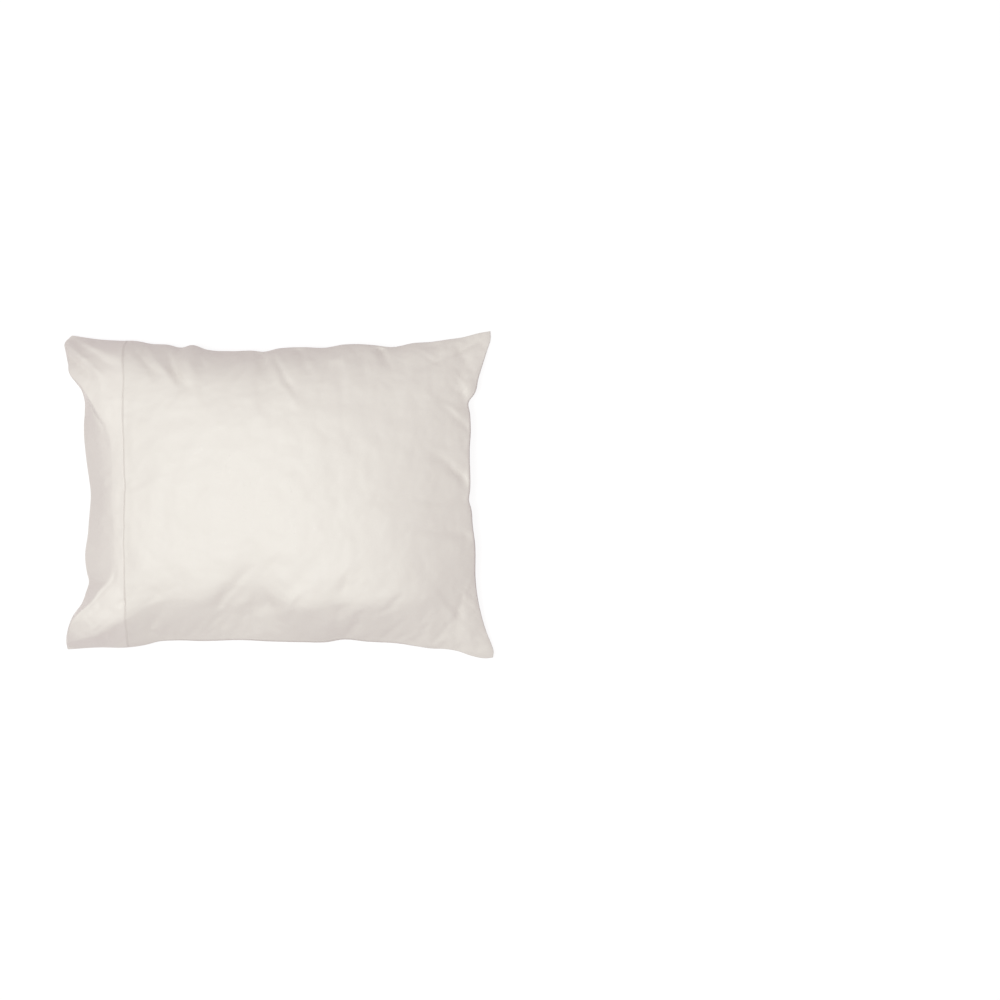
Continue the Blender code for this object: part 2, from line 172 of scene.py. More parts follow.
frontFolds = (  # x0, y0, x1, y1, depth (a ridge is negative), half width
    # out of the +Y seam, from the hem to the closed end
    (-226, 228, -168, 176, 4.5, 6),
    (-203, 228, -141, 158, -4.5, 6),
    (-180, 231, -124, 148, 9.0, 7),
    (-152, 230, -110, 168, -4.0, 7),
    (-124, 222, -99, 166, 3.5, 8),
    (-36, 228, -74, 152, 5.0, 7),
    (-36, 236, -2, 170, 9.0, 7),
    (-20, 230, 15, 156, -4.5, 6),
    (-18, 226, 34, 146, 8.0, 6.5),
    (-2, 202, 37, 128, -4.0, 5.5),
    (28, 236, 50, 180, 8.0, 7.5),
    (94, 212, 104, 130, 4.0, 9),
    (126, 230, 139, 160, 5.5, 9),
    (150, 236, 176, 186, 7.0, 7),
    (334, 250, 214, 191, 5.0, 6),
    (334, 258, 226, 152, 4.5, 40),
    # out of the closed end, +Y to -Y
    (318, 131, 256, 170, 4.5, 6),
    (300, 104, 222, 155, -3.0, 7),
    (314, 90, 240, 141, 6.5, 6),
    (312, 2, 222, 77, 7.5, 8),
    (322, -67, 198, -48, 6.5, 8),
    (310, -240, 216, -124, -4.5, 11),
    (290, -226, 238, -146, -1.6, 8),
    (262, -220, 224, -150, -1.8, 8),
    (328, -246, 268, -166, -3.0, 11),
    (334, -258, 226, -152, -3.5, 42),
    # out of the -Y seam, from the closed end to the hem
    (170, -208, 178, -156, 2.0, 12),
    (58, -202, 86, -154, 2.0, 13),
    (4, -192, 44, -144, -4.0, 8),
    (-10, -182, 40, -126, 5.0, 9),
    (-34, -182, 16, -134, 4.5, 10),
    (-72, -176, -26, -152, -4.0, 8),
    (-100, -182, -30, -106, 8.0, 8),
    (-204, -194, -156, -150, -3.5, 8),
    (-240, -172, -208, -138, 3.5, 6),
    # on the hem and its ears
    (-274, 208, -250, 66, -3.5, 15),
    (-330, -235, -234, -182, -3.5, 10),
    (-334, 245, -236, 190, 9.0, 6.5),
    (-338, 242, -252, 174, -8.0, 5.5),
    (-334, 226, -262, 164, 5.5, 6),
    (-316, 238, -228, 204, -4.0, 5.5),
)
backFolds = (
    (-148, 222, -120, 186, 4.0, 10),
    (-24, 218, -14, 176, 4.5, 10),
    (173, 222, 158, 184, 4.0, 10),
    (98, -220, 92, -178, 4.0, 10),
    (292, 145, 258, 122, 4.0, 10),
    (292, -11, 256, -22, 4.0, 10),
)
hemCreases = (  # lines where the steep hem tucks under the flat ears: points, depth, half width
    (((-319, 182), (-306, 170), (-296, 159), (-287, 144), (-276, 127), (-266, 112), (-256, 98)), 7.0, 2.6),
    (((-240, -106), (-245, -129), (-259, -144), (-272, -159), (-290, -175), (-312, -192)), 2.0, 3.5),
)


def curve(rows, stations, column=1):  # smooth curve through a table's rows
    table = np.array(sorted(rows), dtype=float)
    knots = table[:, 0]
    return smoothThrough(knots, table[:, column], stations)


def smoothThrough(knots, values, stations):  # cubic through values along the first axis
    slopes = np.gradient(values, knots, axis=0)
    at = np.clip(stations, knots[0], knots[-1])
    left = np.clip(np.searchsorted(knots, at, side="right") - 1, 0, len(knots) - 2)
    span = knots[left + 1] - knots[left]
    t = (at - knots[left]) / span
    if values.ndim > 1:
        t = t.reshape(t.shape + (1,) * (values.ndim - 1))
        span = span.reshape(t.shape)
    return (
        values[left] * (1 + 2 * t) * (1 - t) ** 2
        + slopes[left] * span * t * (1 - t) ** 2
        + values[left + 1] * t * t * (3 - 2 * t)
        + slopes[left + 1] * span * t * t * (t - 1)
    )


def mix(low, high, share):
    return low + (high - low) * share


def fade(distance, reach):  # 1 at a seam, 0 at the fade distance
    t = np.clip(1.0 - distance / reach, 0.0, 1.0)
    return t * t * (3.0 - 2.0 * t)


def crowded(cells, crowd):  # stations from 0 to 1, closer together at both ends
    even = np.linspace(0.0, 1.0, cells + 1)
    return (1.0 - crowd) * even + crowd * 0.5 * (1.0 - np.cos(math.pi * even))


caseLength = case["hemLength"] + case["endBack"][0] - hemRow[-1][1]
caseWidth = case["endBack"][1] - case["endFront"][1]
hemShare = case["hemLength"] / caseLength


def alongLines(cells, crowd, rowLines, rowClear):  # grid lines along the case, dense at the stitching
    line = crowded(cells, crowd)
    row = hemShare + np.array(rowLines) / caseLength
    clear = rowClear / caseLength
    kept = line[(line < row[0] - clear) | (line > row[-1] + clear)]
    return np.sort(np.append(kept, row))


def plan(along, across):  # where each grid point lies, seen from above
    u, v = np.meshgrid(along, across, indexing="ij")
    mouthFront, mouthBack = case["mouthFront"], case["mouthBack"]
    endFront, endBack = case["endFront"], case["endBack"]
    mouthX = curve(mouthEdge, mix(mouthFront[1], mouthBack[1], v))
    hemX = curve(hemRow, mix(mouthFront[1], mouthBack[1], v))
    endLine = mix(endFront[0], endBack[0], v)
    inHem = mix(mouthX, hemX, np.clip(u / hemShare, 0.0, 1.0))
    body = np.clip((u - hemShare) / (1.0 - hemShare), 0.0, 1.0)
    fromEnd = (1.0 - body) * (endLine - hemX)
    drawnIn = curve(closedEnd, mix(endFront[1], endBack[1], v)) - endLine
    inBody = mix(hemX, endLine, body) + drawnIn * fade(fromEnd, case["endFade"])
    x = np.where(u < hemShare, inHem, inBody)

    lowChord = np.interp(x, (mouthFront[0], endFront[0]), (mouthFront[1], endFront[1]))
    highChord = np.interp(x, (mouthBack[0], endBack[0]), (mouthBack[1], endBack[1]))
    chord = highChord - lowChord
    y = mix(lowChord, highChord, v)
    y = y + (curve(frontSeam, x) - lowChord) * fade(v * chord, case["seamFade"])
    y = y + (curve(backSeam, x) - highChord) * fade((1.0 - v) * chord, case["seamFade"])
    return u, v, x, y


def seamHeight(u, v):
    endSeam = np.where(u < 0.5, curve(mouthSeamHeight, v), curve(endSeamHeight, v))
    corner = curve(longSeamHeight, np.where(u < 0.5, 0.0, 1.0))
    return curve(longSeamHeight, u) + (endSeam - corner) * np.abs(2.0 * u - 1.0) ** case["cornerBlend"]


def fromSeams(x, y):  # distances on the plan from the -Y seam, the +Y seam, the mouth and the end
    away = (
        y - curve(frontSeam, x), curve(backSeam, x) - y, x - curve(mouthEdge, y), curve(closedEnd, y) - x,
    )
    return [np.clip(distance, 0.0, None) for distance in away]


def filling(x, y):  # share of the full rise
    fromFront, fromBack, fromMouth, fromEnd = fromSeams(x, y)
    front = curve(frontSide, fromFront / curve(frontReach, x))
    upright = curve(backLean, x, 2)
    back = upright * (1.0 - np.exp(-fromBack / case["uprightRun"]))
    back = back + (1.0 - upright) * (1.0 - np.exp(-fromBack / curve(backLean, x, 1)))
    sides = front * back
    end = curve(endSide, fromEnd)
    strip = curve(hemShoulder, y, 1)
    shoulder = curve(hemShoulder, y, 2)
    climb = 1.0 - (1.0 - np.clip(fromMouth / strip, 0.0, 1.0)) ** case["steep"]
    beyond = 1.0 - np.exp(-np.clip(fromMouth - strip, 0.0, None) / curve(hemShoulder, y, 3))
    mouth = mix(case["mouthShare"], shoulder, climb) + (1.0 - shoulder) * beyond
    ends = np.clip(end * mouth, 0.0, 1.0)
    slack = np.interp(x, (case["slackFrom"], case["slackTo"]), (case["earSlack"], case["endSlack"]))
    return sides * ends * (1.0 - slack * (1.0 - sides) * (1.0 - ends))


def foldDepth(rows, x, y):  # soft troughs and ridges that wander a little and run out at their end
    astray = [folding["wander"] * unevenness(x, y, folding["wanderSize"], k) for k in folding["wanderSeeds"]]
    x, y = x + astray[0], y + astray[1]
    depth = np.zeros_like(x)
    for x0, y0, x1, y1, deep, width in rows:
        run = np.array((x1 - x0, y1 - y0), dtype=float)
        share = np.clip(((x - x0) * run[0] + (y - y0) * run[1]) / (run @ run), 0.0, 1.0)
        sideways = x - x0 - share * run[0]
        away = np.hypot(sideways, y - y0 - share * run[1])
        half = width * (1.0 - folding["crisp"] * sideways / np.maximum(away, 1e-6))
        begun = np.clip(share / folding["start"], 0.0, 1.0)
        begun = begun * begun * (3.0 - 2.0 * begun)
        depth += deep * np.exp(-(away / half) ** 2) * begun * (1.0 - share) ** folding["runOut"]
    return depth


def creaseDepth(lines, x, y):  # sharp lines that run out at both ends
    depth = np.zeros_like(x)
    for points, deep, width in lines:
        nearest = np.full_like(x, 1e6)
        place = np.zeros_like(x)
        legs = len(points) - 1
        for k in range(legs):
            start = points[k]
            run = np.array((points[k + 1][0] - start[0], points[k + 1][1] - start[1]), dtype=float)
            share = np.clip(((x - start[0]) * run[0] + (y - start[1]) * run[1]) / (run @ run), 0.0, 1.0)
            away = np.hypot(x - start[0] - share * run[0], y - start[1] - share * run[1])
            closer = away < nearest
            nearest = np.where(closer, away, nearest)
            place = np.where(closer, (k + share) / legs, place)
        depth += deep * np.exp(-(nearest / width) ** 2) * np.sin(math.pi * place) ** folding["creaseEnds"]
    return depth


def settle(height):  # the back lies flat on the floor, with a rounded edge to the flat patch
    blend = case["settleBlend"]
    settled = np.where(height > blend, height, (height + blend) ** 2 / (4.0 * blend))
    return np.where(height < -blend, 0.0, settled)


# The filled cloth, swelled by Cloth.

swell = {
    "cellsAlong": 108,
    "cellsAcross": 84,
    "pressure": 4.0,          # how hard the filling pushes out
    "frames": 20,
    "quality": 6,
    "spareCloth": 0.012,      # share by which the cloth is larger than the shape it fills
    "broadSize": 34.0,        # what counts as slow bulging, which is left out (mm)
    "bellReach": 2.5,         # where its bell curve is cut off
    "wrinkleKeep": 0.6,       # share of the wrinkles that is carried over
    "most": 4.0,              # furthest that a wrinkle may move a point (mm)
    "seamHold": 6.0,          # held this near the seams (mm)
    "mouthHold": 60.0,        # and this far in from the mouth
}


def caseFaces(along, across):  # both faces before their folds: u, v, x, y, top and under heights
    u, v, x, y = plan(along, across)
    seam = seamHeight(u, v)
    share = filling(x, y)
    pastCrown = x - case["crownX"]
    besideCrown = y + case["crownTwist"] * np.clip(pastCrown, 0.0, None)
    fromCrown = np.hypot(pastCrown, besideCrown) / case["crownReach"]
    crown = case["crownTop"] - case["crownDrop"] * fromCrown ** 2
    top = mix(seam, crown, share) + case["lipHalf"]
    under = settle(seam - case["lipHalf"] - case["bellyDrop"] * share)
    return u, v, x, y, share, top, under


def sewnFaces(rows, columns):  # quads of both faces and of the three sewn seams
    front = np.arange(rows * columns).reshape(rows, columns)
    back = front + rows * columns
    a, b, c, d = front[:-1, :-1], front[1:, :-1], front[1:, 1:], front[:-1, 1:]
    faces = np.stack((a, b, c, d), axis=-1).reshape(-1, 4).tolist()
    a, b, c, d = back[:-1, :-1], back[:-1, 1:], back[1:, 1:], back[1:, :-1]
    faces += np.stack((a, b, c, d), axis=-1).reshape(-1, 4).tolist()
    low = np.stack((front[:-1, 0], back[:-1, 0], back[1:, 0], front[1:, 0]), axis=-1)
    high = np.stack((front[:-1, -1], front[1:, -1], back[1:, -1], back[:-1, -1]), axis=-1)
    end = np.stack((front[-1, :-1], back[-1, :-1], back[-1, 1:], front[-1, 1:]), axis=-1)
    for seam in (low, high, end):
        faces += seam.tolist()
    return faces


def softened(values, size):  # slow part of a coarse grid of moves
    for axis, step in enumerate((caseLength / swell["cellsAlong"], caseWidth / swell["cellsAcross"])):
        reach = int(round(swell["bellReach"] * size / step))
        weights = np.exp(-0.5 * (np.arange(-reach, reach + 1) * step / size) ** 2)
        pads = [(0, 0)] * values.ndim
        pads[axis] = (reach, reach)
        padded = np.pad(values, pads, mode="reflect")
        values = sum(
            weight * np.take(padded, np.arange(values.shape[axis]) + k, axis=axis)
            for k, weight in enumerate(weights / weights.sum())
        )
    return values


def swelled():  # how the filling pushes the cloth about: moves of both faces on a coarse grid
    along = np.linspace(0.0, 1.0, swell["cellsAlong"] + 1)
    across = np.linspace(0.0, 1.0, swell["cellsAcross"] + 1)
    u, v, x, y, _, top, under = caseFaces(along, across)
    rows, columns = u.shape
    start = np.stack((np.stack((x, y, top), -1), np.stack((x, y, under), -1))) * mm
    mesh = bpy.data.meshes.new("swellTrial")
    mesh.from_pydata(start.reshape(-1, 3).tolist(), [], sewnFaces(rows, columns))
    trial = bpy.data.objects.new("swellTrial", mesh)
    bpy.context.scene.collection.objects.link(trial)

    fromSeam = np.minimum(np.minimum(v, 1.0 - v) * caseWidth, (1.0 - u) * caseLength)
    held = np.maximum(fade(fromSeam, swell["seamHold"]), fade(u * caseLength, swell["mouthHold"]))
    group = trial.vertex_groups.new(name="held")
    for index, weight in enumerate(np.tile(held.ravel(), 2)):
        if weight > 0.0:
            group.add([index], float(weight), "REPLACE")
    cloth = trial.modifiers.new("swell", "CLOTH")
    settings = cloth.settings
    settings.quality = swell["quality"]
    settings.vertex_group_mass = "held"
    settings.use_pressure = True
    settings.uniform_pressure_force = swell["pressure"]
    settings.shrink_min = -swell["spareCloth"]
    settings.effector_weights.gravity = 0.0
    cloth.collision_settings.use_collision = False
    cloth.point_cache.frame_start = 1
    cloth.point_cache.frame_end = swell["frames"]
    for step in range(1, swell["frames"] + 1):
        bpy.context.scene.frame_set(step)
    result = trial.evaluated_get(bpy.context.evaluated_depsgraph_get()).to_mesh()
    points = np.empty(len(result.vertices) * 3, dtype=np.float32)
    result.vertices.foreach_get("co", points)
    moves = (points.reshape(start.shape) - start) / mm
    trial.to_mesh_clear()
    bpy.context.scene.frame_set(1)
    bpy.data.objects.remove(trial)
    bpy.data.meshes.remove(mesh)
    broad = np.stack([softened(side, swell["broadSize"]) for side in moves])
    wrinkles = moves - broad
    far = np.linalg.norm(wrinkles, axis=-1, keepdims=True)
    print("wrinkles, mean and most (mm):", round(float(far.mean()), 2), round(float(far.max()), 2))
    wrinkles = wrinkles * np.minimum(1.0, swell["most"] / np.maximum(far, 1e-6))
    return along, across, wrinkles * swell["wrinkleKeep"]


# The surface of the cloth: stitching, puckers and small wrinkles.

relief = {
    "rowDepth": 0.8,          # how far the hem stitching draws in (mm)
    "rowHalf": 0.9,           # half its width
    "hemLip": 0.3,            # fullness of the doubled hem beside the stitching
    "bodyLip": 0.5,           # and of the body beside it
    "lipAway": 2.4,
    "lipHalf": 2.2,
    "puckerDepth": 0.35,      # puckers along the stitching
    "puckerPitch": 7.0,
    "puckerReach": 10.0,
    "seamPucker": 0.7,        # puckers along the side seams
    "seamPitch": 13.0,
    "seamReach": 26.0,
    "seamClear": 3.0,         # smooth cloth right at a seam
    "seamStretch": 4.0,       # how much longer than wide these puckers are
    "broadDepth": 0.9,        # slow unevenness of the filling
    "broadSize": 85.0,
    "softDepth": 0.85,        # small soft wrinkles
    "softSize": 26.0,
    "fineDepth": 0.3,
    "fineSize": 10.0,
    "topSeed": 11.0,
    "underSeed": 31.0,
    "floorFade": 6.0,         # no relief where the back lies on the floor, all of it from this height
    "noiseGain": 1.6,
}


def unevenness(x, y, size, seed):  # smooth noise, about -1 to 1
    flat = [noise.noise(Vector((a / size, b / size, seed))) for a, b in zip(x.ravel(), y.ravel())]
    return np.array(flat).reshape(x.shape) * relief["noiseGain"]


def stitchedHem(fromRow, v, seed):  # a stitched groove between two soft lips, with puckers beside it
    groove = relief["rowDepth"] * np.exp(-(fromRow / relief["rowHalf"]) ** 2)
    hemLip = relief["hemLip"] * np.exp(-((fromRow + relief["lipAway"]) / relief["lipHalf"]) ** 2)
    bodyLip = relief["bodyLip"] * np.exp(-((fromRow - relief["lipAway"]) / relief["lipHalf"]) ** 2)
    alongRow = v * caseWidth
    ripple = unevenness(alongRow, fromRow, relief["puckerPitch"], seed)
    ripple = ripple * relief["puckerDepth"] * np.exp(-np.abs(fromRow) / relief["puckerReach"])
    return groove - hemLip - bodyLip + ripple


def seamRipple(u, v, seed):  # puckers that run in from the sewn seams
    pitch, stretch = relief["seamPitch"], relief["seamStretch"]
    fromLong = np.minimum(v, 1.0 - v) * caseWidth
    fromEnd = (1.0 - u) * caseLength
    longRipple = unevenness(u * caseLength, v * caseWidth / stretch, pitch, seed)
    endRipple = unevenness(v * caseWidth, u * caseLength / stretch, pitch, seed + 5.0)
    ripple = longRipple * beside(fromLong) + endRipple * beside(fromEnd)
    return ripple * relief["seamPucker"]


def beside(fromSeam):  # how much a seam puckers the cloth at this distance
    return np.exp(-fromSeam / relief["seamReach"]) * np.clip(fromSeam / relief["seamClear"], 0.0, 1.0)


def clothRelief(u, v, x, y, seed):  # everything small, as a depth
    depth = seamRipple(u, v, seed)
    depth = depth + relief["broadDepth"] * unevenness(x, y, relief["broadSize"], seed + 1.0)
    depth = depth + relief["softDepth"] * unevenness(x, y, relief["softSize"], seed + 2.0)
    depth = depth + relief["fineDepth"] * unevenness(x, y, relief["fineSize"], seed + 4.0)
    return depth + stitchedHem((u - hemShare) * caseLength, v, seed + 3.0)


pocketSide = (  # one side of the mouth, edge to end: shares of rim (out), depth (in), wall and flare
    (0.7, 0.0, 0.2, 0.0), (1.0, 0.0, 0.5, 0.0), (0.6, 0.0, 0.85, 0.0),
    (-case["rimInside"] / case["rimRound"], 0.0, 1.0, 0.0),
    (0.0, 0.25, 1.0, 0.45), (0.0, 0.55, 1.0, 0.75), (0.0, 1.0, 1.0, 1.0),
)
pocketEnd = ((1.1, 0.3), (1.12, 0.5), (1.1, 0.7))  # share of the depth, share of the way down


def mouthPocket(top, under):  # from the front hem round its edge, in, and out under the back hem
    rings = []
    first, last = top[0][0][1], top[0][-1][1]
    for front, back in zip(top[0], under[0]):
        tall = front[2] - back[2]
        wall = min(case["hemWall"], case["hemWallShare"] * tall)
        fromSide = min(abs(front[1] - first), abs(last - front[1]))
        openShare = min(1.0, (tall - 2.0 * wall) / case["openGap"], fromSide / case["sideRun"])
        inward = case["mouthDepth"] * openShare
        flare = case["mouthFlare"] * openShare

        def at(base, row, up):
            rim, depth, thick, spread = row
            dx = depth * inward - rim * case["rimRound"]
            return (base[0] + dx, base[1], base[2] + up * (thick * wall - spread * flare))

        ring = [at(front, row, -1) for row in pocketSide]
        for depth, down in pocketEnd:
            ring.append((front[0] + depth * inward, front[1], mix(front[2], back[2], down)))
        ring += [at(back, row, 1) for row in reversed(pocketSide)]
        rings.append(ring)
    return rings


def mouthFaces(paths, corners):
    faces = []
    for here, there in zip(paths, paths[1:]):
        for k in range(len(here) - 1):
            faces.append((here[k], there[k], there[k + 1], here[k + 1]))
    for path, (tipFront, tipBack), flip in zip((paths[0], paths[-1]), corners, (False, True)):
        half = len(path) // 2
        fan = [(tipFront, path[k], path[k + 1]) for k in range(half - 1)]
        fan.append((tipFront, path[half - 1], path[half], tipBack))
        fan.extend((tipBack, path[k], path[k + 1]) for k in range(half, len(path) - 1))
        faces.extend(tuple(reversed(face)) if flip else face for face in fan)
    return faces


def ontoGrid(coarseAlong, coarseAcross, moves, along, across):  # moves of a coarse grid on the fine one
    byRow = smoothThrough(coarseAlong, moves, along)
    return np.swapaxes(smoothThrough(coarseAcross, np.swapaxes(byRow, 0, 1), across), 0, 1)


def buildCase():
    along = alongLines(
        meshing["cellsAlong"], meshing["crowdAlong"], meshing["rowLines"], meshing["rowClear"]
    )
    across = crowded(meshing["cellsAcross"], meshing["crowdAcross"])
    u, v, x, y, share, top, under = caseFaces(along, across)
    clear = np.sin(0.5 * math.pi * np.clip(share / case["rimShare"], 0.0, 1.0))
    topMove, underMove = np.zeros((2,) + x.shape + (3,))
    coarseAlong, coarseAcross, wrinkles = swelled()
    topMove, underMove = (ontoGrid(coarseAlong, coarseAcross, side, along, across) for side in wrinkles)
    depth = foldDepth(frontFolds, x, y) + creaseDepth(hemCreases, x, y)
    depth = depth + clothRelief(u, v, x, y, relief["topSeed"])
    top = top - depth * clear
    lift = foldDepth(backFolds, x, y) + clothRelief(u, v, x, y, relief["underSeed"])
    offFloor = np.clip(under / relief["floorFade"], 0.0, 1.0)
    under = under + lift * clear * offFloor
    topPoints = np.stack((x, y, top), axis=-1) + topMove
    underPoints = np.stack((x, y, under), axis=-1) + underMove * offFloor[..., None]
    underPoints[..., 2] = np.maximum(underPoints[..., 2], 0.0)

    pocket = mouthPocket(topPoints, underPoints)
    rows, columns = x.shape
    facePoints = rows * columns
    points = np.concatenate((topPoints.reshape(-1, 3), underPoints.reshape(-1, 3), *pocket[1:-1])) * mm
    low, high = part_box("pillowcase")
    middle = 0.5 * (points.min(axis=0) + points.max(axis=0))
    points[:, 0] += 0.5 * (low[0] + high[0]) - middle[0]
    points[:, 1] += 0.5 * (low[1] + high[1]) - middle[1]

    deep = len(pocket[0])
    paths = []
    for j in range(1, columns - 1):
        first = 2 * facePoints + (j - 1) * deep
        paths.append([j] + list(range(first, first + deep)) + [facePoints + j])
    last = columns - 1
    corners = ((0, facePoints), (last, facePoints + last))
    faces = sewnFaces(rows, columns) + mouthFaces(paths, corners)
    mesh = bpy.data.meshes.new(case["name"])
    mesh.from_pydata(points.tolist(), [], faces)
    mesh.shade_smooth()
    hemLine = int(np.argmin(np.abs(along - hemShare)))
    return mesh, along, across, hemLine, rows, columns


caseMesh, along, across, hemLine, rows, columns = buildCase()
caseCloth = bpy.data.objects.new(case["name"], caseMesh)
bpy.context.scene.collection.objects.link(caseCloth)
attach(caseCloth, "root")
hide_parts("pillowcase")
print("case cloth built:", len(caseMesh.polygons), "faces")


# Cotton.

cottonLook = {
    "base": (0.80, 0.768, 0.720),
    "warm": (0.81, 0.779, 0.725),
    "toneScale": 14.0,        # patches of the two, to a metre
    "doubled": (0.84, 0.806, 0.756),  # paler where the hem lies double
    "doubledShare": 0.8,
    "roughness": 0.55,
    "roughSpread": 0.06,
    "sheen": 0.3,
    "sheenRoughness": 0.45,
    "sheenTint": (1.0, 0.9, 0.88),
    "weavePitch": 0.42,       # mm between threads
    "weaveStrength": 0.35,
    "weaveDepth": 0.06,       # mm
    "crumpleScale": 130.0,
    "crumpleStrength": 0.25,
    "crumpleDepth": 0.6,      # mm
    # painted shadow: a darker colour laid into the cloth along the hem stitching, standing in for the shade
    # where the hem steps down
    "paintedStitchShadow": (0.60, 0.553, 0.522),
    "stitchShadowShare": 0.46,         # how much of that painted shadow lies in the stitched line
    "stitchShadowFull": 1.1,          # half width of the painted shadow line (mm)
    "stitchShadowGone": 2.7,
    "patchScale": 9.0,        # the painted shadow line comes and goes in patches
    "patchLow": 0.35,
    "patchHigh": 0.6,
    "patchLeast": 0.45,
    "backMap": 1.0,           # where the map of the back starts (m)
    "mouthMap": 3.0,          # and that of the mouth
}


def clothMap(mesh):  # a map of the cut cloth in metres, front and back side by side
    layer = mesh.uv_layers.new(name="clothMap")
    count = rows * columns
    uGrid, vGrid = np.meshgrid(along, across, indexing="ij")
    flat = np.zeros((len(mesh.vertices), 2))
    flat[:count, 0] = uGrid.ravel() * caseLength * mm
    flat[:count, 1] = vGrid.ravel() * caseWidth * mm
    flat[count:2 * count, 0] = flat[:count, 0] + cottonLook["backMap"]
    flat[count:2 * count, 1] = flat[:count, 1]
    rest = np.array([v.co for v in mesh.vertices[2 * count:]])
    flat[2 * count:, 0] = rest[:, 0] + cottonLook["mouthMap"]
    flat[2 * count:, 1] = rest[:, 1]
    loops = np.empty(len(mesh.loops), dtype=np.int32)
    mesh.loops.foreach_get("vertex_index", loops)
    layer.uv.foreach_set("vector", flat[loops].astype(np.float32).ravel())


def cottonMaterial():
    material = bpy.data.materials.new("cottonPercale")
    material.use_nodes = True
    nodes, links = material.node_tree.nodes, material.node_tree.links
    shader = nodes["Principled BSDF"]
    shader.inputs["Sheen Weight"].default_value = cottonLook["sheen"]
    shader.inputs["Sheen Roughness"].default_value = cottonLook["sheenRoughness"]
    shader.inputs["Sheen Tint"].default_value = (*cottonLook["sheenTint"], 1.0)

    cloth = nodes.new("ShaderNodeUVMap")
    cloth.uv_map = "clothMap"
    place = nodes.new("ShaderNodeTexCoord")

    def wave(direction):
        threads = nodes.new("ShaderNodeTexWave")
        threads.bands_direction = direction
        threads.inputs["Scale"].default_value = math.pi / 10.0 / (cottonLook["weavePitch"] * mm)
        threads.inputs["Distortion"].default_value = 0.0
        links.new(cloth.outputs["UV"], threads.inputs["Vector"])
        return threads

    def blotches(source, output, scale, detail):
        blotch = nodes.new("ShaderNodeTexNoise")
        blotch.inputs["Scale"].default_value = scale
        blotch.inputs["Detail"].default_value = detail
        links.new(source.outputs[output], blotch.inputs["Vector"])
        return blotch

    def bump(height, strength, depth):
        raised = nodes.new("ShaderNodeBump")
        raised.inputs["Strength"].default_value = strength
        raised.inputs["Distance"].default_value = depth * mm
        links.new(height, raised.inputs["Height"])
        return raised

    def mixed(share, first, second):
        blend = nodes.new("ShaderNodeMix")
        blend.data_type = "RGBA"
        links.new(share, blend.inputs[0])
        for socket, value in zip(blend.inputs[6:8], (first, second)):
            if isinstance(value, tuple):
                socket.default_value = (*value, 1.0)
            else:
                links.new(value, socket)
        return blend.outputs[2]

    warp, weft = wave("X"), wave("Y")
    weave = nodes.new("ShaderNodeMath")
    weave.operation = "MULTIPLY"
    links.new(warp.outputs["Fac"], weave.inputs[0])
    links.new(weft.outputs["Fac"], weave.inputs[1])
    weaveBump = bump(weave.outputs[0], cottonLook["weaveStrength"], cottonLook["weaveDepth"])

    crumple = blotches(place, "Object", cottonLook["crumpleScale"], 3.0)
    crumpleBump = bump(crumple.outputs["Fac"], cottonLook["crumpleStrength"], cottonLook["crumpleDepth"])
    links.new(weaveBump.outputs["Normal"], crumpleBump.inputs["Normal"])
    links.new(crumpleBump.outputs["Normal"], shader.inputs["Normal"])

    def maths(operation, first, second):
        step = nodes.new("ShaderNodeMath")
        step.operation = operation
        for socket, value in zip(step.inputs, (first, second)):
            if isinstance(value, float):
                socket.default_value = value
            else:
                links.new(value, socket)
        return step.outputs[0]

    # painted shadow along the hem stitching: a narrow darker line mixed into the base colour, in patches
    split = nodes.new("ShaderNodeSeparateXYZ")
    links.new(cloth.outputs["UV"], split.inputs[0])
    inFace = maths("MODULO", split.outputs["X"], cottonLook["backMap"])
    fromRow = maths("SUBTRACT", inFace, hemShare * caseLength * mm)
    inLine = nodes.new("ShaderNodeMapRange")
    inLine.interpolation_type = "SMOOTHSTEP"
    inLine.inputs["From Min"].default_value = cottonLook["stitchShadowGone"] * mm
    inLine.inputs["From Max"].default_value = cottonLook["stitchShadowFull"] * mm
    links.new(maths("ABSOLUTE", fromRow, 0.0), inLine.inputs["Value"])
    patchy = blotches(cloth, "UV", cottonLook["patchScale"], 1.0)
    uneven = nodes.new("ShaderNodeMapRange")
    uneven.inputs["From Min"].default_value = cottonLook["patchLow"]
    uneven.inputs["From Max"].default_value = cottonLook["patchHigh"]
    uneven.inputs["To Min"].default_value = cottonLook["patchLeast"]
    links.new(patchy.outputs["Fac"], uneven.inputs["Value"])
    stitchShadow = maths("MULTIPLY", maths("MULTIPLY", inLine.outputs[0], uneven.outputs[0]), cottonLook["stitchShadowShare"])

    tone = blotches(place, "Object", cottonLook["toneScale"], 3.0)
    colour = mixed(tone.outputs["Fac"], cottonLook["base"], cottonLook["warm"])
    inHem = maths("LESS_THAN", fromRow, 0.0)
    colour = mixed(maths("MULTIPLY", inHem, cottonLook["doubledShare"]), colour, cottonLook["doubled"])
    # mix the painted shadow line into the colour
    colour = mixed(stitchShadow, colour, cottonLook["paintedStitchShadow"])
    links.new(colour, shader.inputs["Base Color"])

    rough = nodes.new("ShaderNodeMapRange")
    rough.inputs["To Min"].default_value = cottonLook["roughness"] - cottonLook["roughSpread"]
    rough.inputs["To Max"].default_value = cottonLook["roughness"] + cottonLook["roughSpread"]
    links.new(tone.outputs["Fac"], rough.inputs["Value"])
    links.new(rough.outputs[0], shader.inputs["Roughness"])
    return material


clothMap(caseMesh)
caseMesh.materials.append(cottonMaterial())
print("cotton done")


# The stitches of the hem, on both faces.

